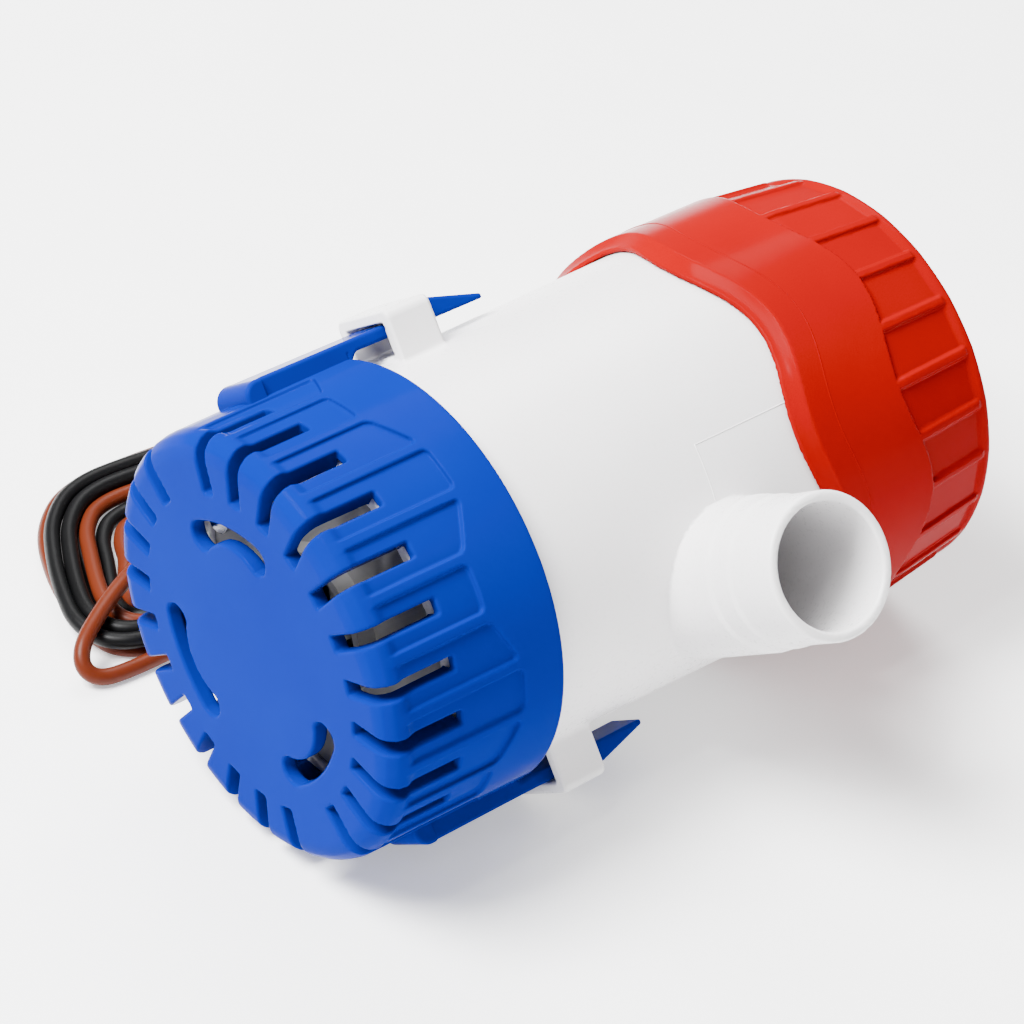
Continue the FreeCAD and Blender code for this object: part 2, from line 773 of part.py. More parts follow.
def tube(label, points, radius):
    """A round lead along a path of runs and arcs."""
    path, radii = arc_path(points)
    heading = Vector(*points[1]) - Vector(*points[0])
    ring = Part.Wire([Part.Circle(Vector(*points[0]), heading, radius.value).toShape()])
    obj = doc.addObject("Part::Feature", "Lead")
    obj.Shape = path.makePipeShell([ring], True, True)
    expected = math.pi * radius.value ** 2 * path.Length
    print(f"{label}: length {path.Length:.1f}, smallest radius {min(radii):.1f},"
          f" volume ratio {obj.Shape.Volume / expected:.4f}")
    return node(label, obj)


def inner_leads():
    """Each lead's run inside the cap, from its terminal's tab to the grommet."""
    turn = math.radians(dims.grommet_turn.value)
    circle = dims.grommet_circle.value
    low = dims.cap_height - dims.cap_wall - dims.grommet_flange
    for name, lead in LEADS.items():
        side = lead_hole(lead)
        x = circle * math.cos(turn) - side * math.sin(turn)
        y = circle * math.sin(turn) + side * math.cos(turn)
        points = [*lead["inside"], (x, y, (low - dims.inner_lead_rise).value), (x, y, low.value)]
        tube(f"inner_lead_{name}", points, dims.lead_radius - dims.glue_gap)


# ---- laying the pump down --------------------------------------------------------------

def lay_down(pieces):
    """The placement that lays the pump on its cap's rim and its lower loop's corner."""
    corner = dims.loop_corner.value
    out = dims.loop_radius.value - corner
    side = dims.loop_width.value / 2 - corner
    reach = dims.cap_radius.value - corner
    roll = math.acos(reach / math.hypot(out, side)) + math.atan2(side, out)
    across = Vector(0, -math.cos(roll), math.sin(roll))
    down = Vector(0, -math.sin(roll), -math.cos(roll))
    turn = Rotation(across, down, Vector(1, 0, 0), "XYZ")
    extent = FreeCAD.BoundBox()
    for piece in pieces:
        shape = piece.Shape.copy()
        shape.Placement = Placement(Vector(0, 0, 0), turn) * piece.Placement
        extent.add(shape.optimalBoundingBox(False))
    middle = extent.Center
    print(f"object without its leads: {extent.XLength:.1f} x {extent.YLength:.1f}"
          f" x {extent.ZLength:.1f} mm, roll {math.degrees(roll):.2f} degrees")
    return Placement(Vector(-middle.x, -middle.y, -extent.ZMin), turn)


# ---- free leads behind the pump --------------------------------------------------------

def free_leads(laid):
    """Each lead from the grommet's nose to the hank, its bare end, the hank and its tie."""
    turn = Rotation(Vector(0, 0, 1), dims.grommet_turn.value)
    nose = (dims.cap_height + dims.grommet_rise).value
    for name, lead in LEADS.items():
        place = Vector(dims.grommet_circle.value, lead_hole(lead), nose)
        leaves = laid.multVec(turn.multVec(place))
        print(f"{name} lead leaves the grommet at {leaves.x:.2f}, {leaves.y:.2f}, {leaves.z:.2f}")
        tube(f"lead_{name}", [tuple(leaves), *lead["route"]], dims.lead_radius)
        tip_start, tip_side = lead["tip"]
        tip = bind(doc.addObject("Part::Cylinder", "Tip"), Radius=dims.tip_radius,
                   Height=dims.tip_length)
        tip.Placement = Placement(Vector(tip_start, tip_side, dims.lead_radius.value),
                                  Rotation(Vector(0, 1, 0), 90))
        node(f"bare_end_{name}", tip)
    hank = doc.addObject("Part::Feature", "Hank")
    hank.Shape = ring_slab(HANK_OUTLINE, HANK_HOLE, dims.hank_thick.value)
    node("lead_hank", hank)
    band = dims.hank_band
    far = dims.hank_far - band / 2
    wall = dims.tie_wall
    collar = level_box(dims.hank_middle, far, dims.tie_width, band + wall * 2, ZERO,
                       dims.hank_thick + wall)
    gap = level_box(dims.hank_middle, far, dims.tie_width * 2, band, wall, dims.hank_thick)
    node("lead_tie", cut(collar, [gap]))


def ring_slab(outline, hole, thick):
    """A level slab standing on the ground, with rounded corners and a rounded hole."""
    faces = []
    for corners in (outline, hole):
        level = [(x, y, 0.0) for x, y in [*corners, corners[0]]]
        faces.append(Part.Face(arc_path(level)[0]))
    return faces[0].cut(faces[1]).extrude(Vector(0, 0, thick))


def level_box(x, y, length, width, low, high):
    """A block standing level in the frame the pump lies in, centred on x and y."""
    obj = bind(doc.addObject("Part::Box", "Block"), Length=length, Width=width, Height=high - low)
    obj.Placement = Placement(Vector((x - length / 2).value, (y - width / 2).value, low.value),
                              Rotation())
    return obj


# ---- build, check and write ------------------------------------------------------------

def main():
    """Build every piece, lay the pump down, add the free leads and write the pieces."""
    for build in (strainer_basket, pump_housing, intake_plate, top_cap, lead_grommet,
                  motor_canister, motor_shell, field_magnets, brush_gear, rotor, inner_leads):
        build()
    latch_arm("latch_arm_lower", 90)
    latch_arm("latch_arm_upper", 270)
    doc.recompute()
    laid = lay_down(nodes)
    for piece in nodes:
        piece.Placement = laid * piece.Placement
    free_leads(laid)
    doc.recompute()
    for obj in doc.Objects:
        if "Invalid" in obj.State or "Error" in obj.State:
            raise RuntimeError(f"{obj.Name} ({obj.Label}) failed: {obj.State}")
    for piece in nodes:
        if piece.Shape.isNull() or not piece.Shape.isValid() or piece.Shape.Volume <= 0:
            raise RuntimeError(f"{piece.Label} has no valid solid")
    os.makedirs("parts", exist_ok=True)
    for piece in nodes:
        piece.Shape.exportStep(f"parts/{piece.Label}.step")
    print(f"{len(nodes)} pieces written")


main()
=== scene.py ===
"""Looks of a cartridge bilge pump lying on its side with its two leads coiled behind it.

Lengths are metres in the shared frame. Moulded pieces are described in the pump's own
millimetres: x out along the hose nozzle, y out along the lower latch and z along the shaft
from the strainer's foot to the cap's top. Each is a signed distance field, which is below
zero inside the piece, and its surface is meshed where the field is zero.
"""
import json
import math

import bpy
import numpy as np
from mathutils import Matrix, Vector


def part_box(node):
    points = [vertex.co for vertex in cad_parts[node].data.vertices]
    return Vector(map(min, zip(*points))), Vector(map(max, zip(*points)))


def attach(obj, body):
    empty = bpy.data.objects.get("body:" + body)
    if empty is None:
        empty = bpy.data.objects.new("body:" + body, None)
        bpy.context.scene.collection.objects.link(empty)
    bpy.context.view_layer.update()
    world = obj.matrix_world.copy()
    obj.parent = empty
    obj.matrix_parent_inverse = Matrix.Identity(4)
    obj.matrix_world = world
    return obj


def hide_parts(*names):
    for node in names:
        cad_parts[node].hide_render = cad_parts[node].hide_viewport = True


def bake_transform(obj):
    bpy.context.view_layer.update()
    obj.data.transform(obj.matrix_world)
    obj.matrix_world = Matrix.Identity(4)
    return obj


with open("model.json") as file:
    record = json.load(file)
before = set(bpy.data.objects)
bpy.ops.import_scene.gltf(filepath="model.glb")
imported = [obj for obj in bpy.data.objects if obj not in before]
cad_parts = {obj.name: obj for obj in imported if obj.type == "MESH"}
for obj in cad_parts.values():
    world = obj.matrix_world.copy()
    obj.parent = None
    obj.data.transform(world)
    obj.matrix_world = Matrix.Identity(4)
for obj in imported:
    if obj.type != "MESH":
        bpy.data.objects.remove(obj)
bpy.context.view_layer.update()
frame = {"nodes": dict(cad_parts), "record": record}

MM = 0.001

# ---- the pump's own frame --------------------------------------------------------------

JOINTS = {joint["name"]: joint for joint in frame["record"]["behaviour"]["joints"]}


def pump_frame():
    """The pump's axes and the centre of its foot in the shared frame."""
    along = Vector((1.0, 0.0, 0.0))
    out = Vector(JOINTS["latch_lower_press"]["axis"]).normalized()
    across = along.cross(out)
    low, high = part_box("motor_shaft")
    foot = (Vector(low) + Vector(high)) / 2
    foot.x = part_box("strainer_basket")[0][0]
    return foot, out, across, along


FOOT, OUT, ACROSS, ALONG = pump_frame()
# rows of the turn from the pump's own axes to the shared ones
AXES = np.array([OUT, ACROSS, ALONG])


def place(x, y, z):
    """A point of the pump's own frame, in millimetres, as a point of the shared frame."""
    return FOOT + (OUT * x + ACROSS * y + ALONG * z) * MM


# ---- camera ----------------------------------------------------------------------------

LENS = 123.05
SENSOR_WIDTH = 36.0
NEAREST_SEEN = 0.01


def add_camera():
    """The eye: above and to the side of the strainer, a little rolled."""
    camera = bpy.data.objects.new("camera", bpy.data.cameras.new("camera"))
    bpy.context.scene.collection.objects.link(camera)
    eye = Vector((-0.25746, -0.26592, 0.31739))
    right = Vector((0.76992, -0.63665, 0.04353))
    down = Vector((-0.36247, -0.49245, -0.79127))
    ahead = Vector((0.5252, 0.59344, -0.60992))
    turn = Matrix((right, -down, -ahead)).transposed()
    camera.matrix_world = Matrix.Translation(eye) @ turn.to_4x4()
    camera.data.lens = LENS
    camera.data.sensor_width = SENSOR_WIDTH
    camera.data.clip_start = NEAREST_SEEN
    bpy.context.scene.camera = camera


# ---- fields: how solids are joined, cut and rounded ------------------------------------

def both(a, b, radius):
    """Inside both fields, with the edge between them rounded."""
    outer = np.hypot(np.maximum(a + radius, 0), np.maximum(b + radius, 0))
    return np.minimum(np.maximum(a, b), -radius) + outer


def either(a, b, radius):
    """Inside either field, with a fillet where they meet."""
    inner = np.hypot(np.maximum(radius - a, 0), np.maximum(radius - b, 0))
    return np.maximum(np.minimum(a, b), radius) - inner


def without(a, b, radius):
    """Inside the first field but not the second, with the edge rounded."""
    return both(a, -b, radius)


def between(value, low, high):
    """Inside from low to high."""
    return np.abs(value - (low + high) / 2) - (high - low) / 2


def ease(value, low, high):
    """0 below low, 1 above high and a smooth rise from one to the other."""
    share = np.clip((value - low) / (high - low), 0, 1)
    return share * share * (3 - 2 * share)


def nearest_step(turn, pitch):
    """The angle from the nearest multiple of the pitch, in degrees."""
    return (turn + pitch / 2) % pitch - pitch / 2


# ---- meshing a field -------------------------------------------------------------------

# cells of the grid beyond each side of a piece
MARGIN = 2
# the squared slope of a field is taken to be at least this much
LEAST_SLOPE = 0.1


def surface_nets(field, low, high, cell):
    """Points and quads of the surface where the field is zero, one point to a crossed cell."""
    axes = [np.arange(start - MARGIN * cell, end + (MARGIN + 1) * cell, cell)
            for start, end in zip(low, high)]
    grid_x, grid_y = np.meshgrid(axes[0], axes[1], indexing="ij")
    values = np.stack([field(grid_x, grid_y, level) for level in axes[2]], axis=2)
    shape = np.array(values.shape)
    rings = []
    crossings = []
    for axis in range(3):
        near = [slice(None)] * 3
        far = [slice(None)] * 3
        near[axis] = slice(0, -1)
        far[axis] = slice(1, None)
        first = values[tuple(near)]
        second = values[tuple(far)]
        found = np.argwhere((first < 0) != (second < 0))
        start = first[tuple(found.T)]
        end = second[tuple(found.T)]
        spot = found.astype(float)
        spot[:, axis] += start / (start - end)
        corners = []
        for side, rise in ((-1, -1), (0, -1), (0, 0), (-1, 0)):
            cells = found.copy()
            cells[:, (axis + 1) % 3] += side
            cells[:, (axis + 2) % 3] += rise
            corners.append(np.ravel_multi_index(tuple(cells.T), shape))
        ring = np.stack(corners, axis=1)
        backwards = start >= 0
        ring[backwards] = ring[backwards][:, ::-1]
        rings.append(ring)
        crossings.append(spot)
    rings = np.concatenate(rings)
    crossings = np.concatenate(crossings)
    names, quads = np.unique(rings, return_inverse=True)
    quads = quads.reshape(-1, 4)
    share = np.bincount(quads.ravel(), minlength=len(names))
    points = np.empty((len(names), 3))
    for axis in range(3):
        spread = np.repeat(crossings[:, axis], 4)
        total = np.bincount(quads.ravel(), weights=spread, minlength=len(names))
        points[:, axis] = axes[axis][0] + cell * total / share
    return points, quads


def slope(field, points, reach=0.02):
    """The field's gradient at the points."""
    x, y, z = points.T
    return np.stack([
        field(x + reach, y, z) - field(x - reach, y, z),
        field(x, y + reach, z) - field(x, y - reach, z),
        field(x, y, z + reach) - field(x, y, z - reach),
    ], axis=1) / (2 * reach)


def settle(field, points, step, times=3):
    """The points moved onto the surface along the gradient, no further than a step each time."""
    for _ in range(times):
        gradient = slope(field, points)
        steepness = np.maximum((gradient ** 2).sum(axis=1), LEAST_SLOPE)
        move = np.clip(field(*points.T) / np.sqrt(steepness), -step, step)
        points = points - gradient * (move / np.sqrt(steepness))[:, None]
    return points


def thinned(mesh, most):
    """The mesh brought down to about that many triangles, fewest where it is flattest."""
    triangles = sum(len(face.vertices) - 2 for face in mesh.polygons)
    if triangles <= most:
        return mesh
    helper = bpy.data.objects.new("thinned", mesh)
    bpy.context.scene.collection.objects.link(helper)
    helper.modifiers.new("thin", "DECIMATE").ratio = most / triangles
    graph = bpy.context.evaluated_depsgraph_get()
    result = bpy.data.meshes.new_from_object(helper.evaluated_get(graph))
    bpy.data.objects.remove(helper)
    bpy.data.meshes.remove(mesh)
    return result


def moulded(name, field, low, high, cell, most, material, slot, origin=FOOT, axes=AXES):
    """A piece from its field in the pump's own frame, shaded by the field's slope."""
    points, quads = surface_nets(field, low, high, cell)
    points = settle(field, points, cell / 2)
    mesh = bpy.data.meshes.new(name)
    mesh.from_pydata(points.tolist(), [], quads.tolist())
    mesh = thinned(mesh, most)
    mesh.name = name
    count = len(mesh.vertices)
    local = np.empty(count * 3)
    mesh.vertices.foreach_get("co", local)
    local = settle(field, local.reshape(-1, 3), cell / 4, 2)
    normals = slope(field, local)
    normals /= np.maximum(np.linalg.norm(normals, axis=1), 1e-6)[:, None]
    placed = np.array(origin) + (local @ axes) * MM
    mesh.vertices.foreach_set("co", placed.ravel())
    mesh.polygons.foreach_set("use_smooth", np.ones(len(mesh.polygons), bool))
    mesh.update()
    mesh.normals_split_custom_set_from_vertices((normals @ axes).tolist())
    mesh.materials.clear()
    mesh.materials.append(material)
    piece = bpy.data.objects.new(name, mesh)
    bpy.context.scene.collection.objects.link(piece)
    return piece


# ---- strainer basket -------------------------------------------------------------------

BASKET_HEIGHT = 27.5
BASKET_FOOT_RADIUS = 29.6
BASKET_DRAFT = 0.4
BASKET_CORNER = 3.0
# the corner is two flats, which lean this far from the foot's face
CORNER_LEANS = (30.0, 60.0)
CORNER_ROUND = 0.6
BASKET_RIM_ROUND = 0.5
BASKET_INSIDE = 26.0
BASKET_INSIDE_ROUND = 2.0
BASKET_FIT = 27.6
BASKET_SEAT = 11.8
BASKET_FLOOR = 2.2
SLOT_PITCH = 15.0
SLOT_HALF = 1.05
SLOT_INNER = 22.0
SLOT_TOP = 11.6
SLOT_ROUND = 0.3
SLOT_EDGE = 0.4
LATCH_TURNS = (90.0, 270.0)
# the sunk panels between the ridges of the bars: their tops rise and fall six times round
RIDGE_HALF = 0.72
PANEL_DEPTH = 0.58
PANEL_FADE = (2.4, 4.4)
# degrees from a crest of the tops, and the heights there
PANEL_TOP = ((7.5, 22.5), (21.1, 17.4))
PANEL_REPEAT = 60.0
PANEL_ROUND = 0.9
PANEL_EDGE = 0.3
# degrees between a latch's pad and the panels beside it
PANEL_GAP = 1.2
# kidney-shaped slots through the foot
KIDNEY_CIRCLE = 16.2
KIDNEY_HALF_SWEEP = math.radians(21.5)
KIDNEY_TURNS = (180.0, 69.0, -69.0)
KIDNEY_WAIST = 1.35
KIDNEY_END = 2.0
KIDNEY_BOW = 0.45
KIDNEY_EDGE = 0.45
# the slots are cut this far above the foot's inner face
KIDNEY_OVER = 2


def basket_radius(z):
    """The basket's outer radius at a height, with its mould's draft."""
    return BASKET_FOOT_RADIUS + BASKET_DRAFT * z / BASKET_HEIGHT


def kidney(x, y, turn):
    """A curved slot, narrow in the middle and round at its ends."""
    middle = math.radians(turn)
    out = x * math.cos(middle) + y * math.sin(middle)
    side = y * math.cos(middle) - x * math.sin(middle)
    angle = np.clip(np.arctan2(side, out), -KIDNEY_HALF_SWEEP, KIDNEY_HALF_SWEEP)
    swell = (angle / KIDNEY_HALF_SWEEP) ** 2
    circle = KIDNEY_CIRCLE + KIDNEY_BOW * (1 - swell)
    half = KIDNEY_WAIST + (KIDNEY_END - KIDNEY_WAIST) * swell
    return np.hypot(out - circle * np.cos(angle), side - circle * np.sin(angle)) - half


def basket_field(x, y, z):
    """The slotted cup with sunk panels between ridges and a plain collar."""
    r = np.hypot(x, y)
    turn = np.degrees(np.arctan2(y, x))
    radius = basket_radius(z)
    corner_out = r - radius + BASKET_CORNER
    cup = both(r - radius, z - BASKET_HEIGHT, BASKET_RIM_ROUND)
    for lean in CORNER_LEANS:
        out = math.sin(math.radians(lean))
        down = math.cos(math.radians(lean))
        flat = corner_out * out - (z - BASKET_CORNER) * down - BASKET_CORNER
        cup = both(cup, flat, CORNER_ROUND)
    cup = both(cup, -z, CORNER_ROUND)
    hollow = both(r - BASKET_INSIDE, BASKET_FLOOR - z, BASKET_INSIDE_ROUND)
    hollow = np.minimum(hollow, np.maximum(r - BASKET_FIT, BASKET_SEAT - z))
    step = np.radians(nearest_step(turn, SLOT_PITCH))
    slot = both(np.abs(r * np.sin(step)) - SLOT_HALF, z - SLOT_TOP, SLOT_ROUND)
    slot = both(slot, SLOT_INNER - r * np.cos(step), SLOT_ROUND)
    from_latch = np.abs(nearest_step(turn - LATCH_TURNS[0], 180.0))
    slot = np.where(from_latch < SLOT_PITCH / 2, SLOT_PITCH, slot)
    from_ridge = r * np.sin(math.radians(SLOT_PITCH / 2) - np.abs(step))
    phase = np.abs(nearest_step(turn - LATCH_TURNS[0], PANEL_REPEAT))
    crest = np.interp(phase, *PANEL_TOP)
    deep = radius - PANEL_DEPTH * ease(z, *PANEL_FADE) - r
    panel = both(RIDGE_HALF - from_ridge, z - crest, PANEL_ROUND)
    panel = both(panel, deep, PANEL_EDGE)
    panel = np.where(from_latch < SLOT_PITCH / 2 - PANEL_GAP, SLOT_PITCH, panel)
    cup = without(cup, panel, PANEL_EDGE)
    cup = without(np.maximum(cup, -hollow), slot, SLOT_EDGE)
    for middle in KIDNEY_TURNS:
        hole = np.maximum(kidney(x, y, middle), z - BASKET_FLOOR - KIDNEY_OVER)
        cup = without(cup, hole, KIDNEY_EDGE)
    return cup


# ---- latch arms ------------------------------------------------------------------------

ARM_INNER = 30.3
ARM_OUTER = 32.1
# the arm's lower end is inside the pad
ARM_START = 20.0
ARM_EDGE = 0.5
# the height at which a pressed arm has turned fully
BARB_START = 40.5
BARB_RADIUS = 33.6
BARB_END = 49.9
BARB_TIP = 0.7
BARB_ROUND = 0.25
BARB_INNER_ROUND = 0.2
BARB_FILLET = 0.3
PAD_START = 10.9
PAD_HALF = 4.3
# the pad reaches this far into the basket's wall
PAD_SINK = 0.6
# above this height the arm is narrower than the pad, on each side
PAD_STEP = 13.9
PAD_STEP_HALF = 0.15
PAD_SET_BACK = 0.65
PAD_CORNER = 2.2
# the concave root under the arm: where its circle's centre is, and its radius
ROOT_CENTRE = (28.0, 30.2)
ROOT_RADIUS = 2.6
ROOT_INNER = 28.2
# how far joined solids reach into each other
ROOT_OVERLAP = 0.3
BARB_OVERLAP = 0.5


def latch_profile(out, z, shell):
    """The latch seen from its side: pad, arm, root and barb."""
    pad = both(out - ARM_OUTER, PAD_START - z, PAD_CORNER)
    pad = np.maximum(np.maximum(pad, z - BASKET_HEIGHT), shell)
    arm = np.maximum(between(out, ARM_INNER, ARM_OUTER),
                     between(z, ARM_START, BARB_START + BARB_OVERLAP))
    root = np.maximum(ROOT_RADIUS - np.hypot(out - ROOT_CENTRE[0], z - ROOT_CENTRE[1]),
                      np.maximum(ROOT_INNER - out, out - ARM_OUTER))
    root = np.maximum(root, between(z, BASKET_HEIGHT - ROOT_OVERLAP, ROOT_CENTRE[1]))
    rise = BARB_END - BARB_START
    drop = BARB_RADIUS - ARM_INNER - BARB_TIP
    lean = ((out - BARB_RADIUS) * rise + (z - BARB_START) * drop) / math.hypot(rise, drop)
    barb = both(both(lean, BARB_START - z, BARB_ROUND), z - BARB_END, BARB_ROUND)
    barb = both(barb, ARM_INNER - out, BARB_INNER_ROUND)
    return np.minimum(np.minimum(pad, root), either(arm, barb, BARB_FILLET))


def latch_field(turn):
    """The field of the latch at that turn round the pump."""
    cosine = math.cos(math.radians(turn))
    sine = math.sin(math.radians(turn))

    def field(x, y, z):
        out = x * cosine + y * sine
        side = y * cosine - x * sine
        shell = basket_radius(z) - PAD_SINK - np.hypot(x, y)
        narrowed = ease(z, PAD_STEP - PAD_STEP_HALF, PAD_STEP + PAD_STEP_HALF)
        half = PAD_HALF - PAD_SET_BACK * narrowed
        return both(latch_profile(out, z, shell), np.abs(side) - half, ARM_EDGE)

    return field


# ---- housing ---------------------------------------------------------------------------

HOUSING_START = 12.0
HOUSING_END = 79.0
HOUSING_RADIUS = 26.95
HOUSING_TAPER = 1.55 / 67.0
HOUSING_WALL = 2.0
HOUSING_ROUND = 0.4
HOUSING_EDGE = 0.3
NOZZLE_HEIGHT = 57.2
NOZZLE_OFFSET = 14.3
NOZZLE_INSIDE = 8.0
NOZZLE_BORE = 8.27
NOZZLE_REACH = 46.0
NOZZLE_ROUND = 0.55
NOZZLE_EDGE = 0.45
NOZZLE_FILLET = 0.25
# the nozzle's outer radius steps down twice: distances out, then the radii there
NOZZLE_STEPS = ((33.2, 33.8, 37.2, 37.8), (10.27, 9.95, 9.95, 9.64))
LOOP_START = 33.2
LOOP_END = 40.2
LOOP_HALF = 6.5
LOOP_RADIUS = 34.1
LOOP_CORNER = 1.3
LOOP_ROUND = 0.35
LOOP_FILLET = 0.6
WINDOW_HALF = 4.7
WINDOW_INNER = 27.8
WINDOW_OUTER = 32.45
WINDOW_CORNER = 0.45
WINDOW_EDGE = 0.25
# the window is cut this far past both ends of its loop
WINDOW_OVER = 3
BOSS_TURN = 45.0
BOSS_PITCH = 90.0
BOSS_CIRCLE = 22.4
BOSS_RADIUS = 2.9
BOSS_HOLE = 1.3
BOSS_START = 14.8
BOSS_END = 22.8


def housing_field(x, y, z):
    """The barrel with its nozzle, its latch loops and the screw bosses inside."""
    r = np.hypot(x, y)
    turn = np.degrees(np.arctan2(y, x))
    radius = HOUSING_RADIUS + (z - HOUSING_START) * HOUSING_TAPER
    barrel = both(r - radius, between(z, HOUSING_START, HOUSING_END), HOUSING_ROUND)
    pipe_centre = np.hypot(y - NOZZLE_OFFSET, z - NOZZLE_HEIGHT)
    pipe = both(pipe_centre - np.interp(x, *NOZZLE_STEPS), x - NOZZLE_REACH, NOZZLE_ROUND)
    pipe = np.maximum(pipe, NOZZLE_INSIDE - x)
    shell = either(barrel, pipe, NOZZLE_FILLET)
    out = np.abs(y)
    loop = both(np.abs(x) - LOOP_HALF, out - LOOP_RADIUS, LOOP_CORNER)
    loop = both(loop, between(z, LOOP_START, LOOP_END), LOOP_ROUND)
    loop = np.maximum(loop, HOUSING_RADIUS - HOUSING_WALL - out)
    shell = either(shell, loop, LOOP_FILLET)
    window = both(np.abs(x) - WINDOW_HALF, between(out, WINDOW_INNER, WINDOW_OUTER),
                  WINDOW_CORNER)
    window = np.maximum(window, between(z, LOOP_START - WINDOW_OVER, LOOP_END + WINDOW_OVER))
    shell = without(shell, window, WINDOW_EDGE)
    shell = without(shell, r - radius + HOUSING_WALL, HOUSING_EDGE)
    bore = np.maximum(pipe_centre - NOZZLE_BORE, NOZZLE_INSIDE - x)
    shell = without(shell, bore, NOZZLE_EDGE)
    quarter = np.radians(nearest_step(turn - BOSS_TURN, BOSS_PITCH))
    boss_centre = np.hypot(r * np.cos(quarter) - BOSS_CIRCLE, r * np.sin(quarter))
    boss = np.maximum(boss_centre - BOSS_RADIUS, BOSS_HOLE - boss_centre)
    boss = np.maximum(boss, between(z, BOSS_START, BOSS_END))
    return np.minimum(shell, np.maximum(boss, r - radius + HOUSING_WALL / 2))


# ---- cap -------------------------------------------------------------------------------

CAP_RADIUS = 30.6
CAP_TOP_RADIUS = 29.3
CAP_FIT = 28.6
CAP_EDGE = 73.0
CAP_EDGE_ROUND = 0.25
# the edge, the seam and the foot of the band rise and fall together round the cap
CAP_WAVES = 6
CAP_WAVE = 1.5
CAP_SEAM = 79.2
CAP_BAND = 90.9
CAP_HEIGHT = 105.0
CAP_STEP = 81.55
CAP_ROOF = 102.7
CAP_INSIDE = 26.3
CAP_INSIDE_ROUND = 1.0
SKIRT_ROUND = 0.3
SKIRT_FILLET = 0.25
LIP_DEPTH = 1.4
LIP_WIDTH = 2.2
LIP_BOW = 1.3
LIP_ROUND = 0.12
# brings the lip's slope near to one, so that its rounding keeps its size
LIP_SCALE = 0.8
RIB_PITCH = 15.0
RIB_HALF = 0.7
RIB_END = 103.4
RIB_DEPTH = 0.7
RIB_ROUND = 0.4
RIB_FILLET = 0.35
# the round edge that closes the band
RIM_START = 103.0
RIM_RADIUS = 29.1
RIM_CORNER = 0.8
RIM_ROUND = 1.2
RIM_FILLET = 0.6
GROMMET_CIRCLE = 15.0
GROMMET_TURN = math.radians(225)
GROMMET_SPOT = (GROMMET_CIRCLE * math.cos(GROMMET_TURN), GROMMET_CIRCLE * math.sin(GROMMET_TURN))
GROMMET_NECK = 3.2
GROMMET_CLEARANCE = 0.05


def cap_field(x, y, z):
    """The cap: a scalloped skirt with a hollowed lip, and a grip band of ribs and flats."""
    r = np.hypot(x, y)
    turn = np.degrees(np.arctan2(y, x))
    wave = np.cos(np.radians(CAP_WAVES * turn))
    edge = CAP_EDGE - CAP_WAVE * wave
    band = CAP_BAND - CAP_WAVE * wave
    shrink = (CAP_RADIUS - CAP_TOP_RADIUS) / (RIB_END - CAP_BAND)
    taper = CAP_RADIUS - shrink * np.maximum(z - CAP_BAND, 0)
    step = np.radians(nearest_step(turn, RIB_PITCH))
    facet = r * np.cos(math.radians(RIB_PITCH / 2) - np.abs(step))
    skirt = both(r - CAP_RADIUS, z - band, SKIRT_ROUND)
    panel = facet - taper + RIB_DEPTH
    rib = both(np.abs(r * np.sin(step)) - RIB_HALF, r - taper, RIB_ROUND)
    rib = both(rib, z - RIB_END, RIB_ROUND)
    shell = np.minimum(either(skirt, panel, SKIRT_FILLET), either(panel, rib, RIB_FILLET))
    shell = either(shell, both(r - RIM_RADIUS, RIM_START - z, RIM_ROUND), RIM_FILLET)
    shell = both(shell, z - CAP_HEIGHT, RIM_CORNER)
    share = np.clip((z - edge) / LIP_WIDTH, 0, 2)
    lip = r - (CAP_RADIUS - LIP_DEPTH) - LIP_DEPTH * share ** LIP_BOW
    shell = both(shell, lip * LIP_SCALE, LIP_ROUND)
    shell = both(shell, edge - z, CAP_EDGE_ROUND)
    hollow = np.maximum(r - CAP_FIT, z - CAP_STEP)
    hollow = np.minimum(hollow, both(r - CAP_INSIDE, z - CAP_ROOF, CAP_INSIDE_ROUND))
    hole = np.hypot(x - GROMMET_SPOT[0], y - GROMMET_SPOT[1]) - GROMMET_NECK - GROMMET_CLEARANCE
    return np.maximum(np.maximum(shell, -hollow), -hole)


# ---- mould lines -----------------------------------------------------------------------

LINE_RADIUS = 0.00008
# degrees between points round the cap, and points along each stretch on the barrel
LINE_PITCH = 2
LINE_POINTS = 13
# lines on the barrel: (turn, height) in degrees and millimetres
BARREL_LINES = (
    ((-8.4, 74.0), (-8.4, 56.8), (8.0, 56.8)),
    ((75.0, 41.0), (75.0, 55.0)),
)


def mould_line(name, spots, closed, material):
    """A hair-thin ridge of flash along places given as turn, height and radius."""
    curve = bpy.data.curves.new(name, "CURVE")
    curve.dimensions = "3D"
    curve.bevel_depth = LINE_RADIUS
    curve.bevel_resolution = 2
    spline = curve.splines.new("POLY")
    spline.points.add(len(spots) - 1)
    for point, (turn, height, radius) in zip(spline.points, spots):
        angle = math.radians(turn)
        spot = place(radius * math.cos(angle), radius * math.sin(angle), height)
        point.co = (*spot, 1.0)
    spline.use_cyclic_u = closed
    curve.materials.append(material)
    line = bpy.data.objects.new(name, curve)
    bpy.context.scene.collection.objects.link(line)
    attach(line, "housing")


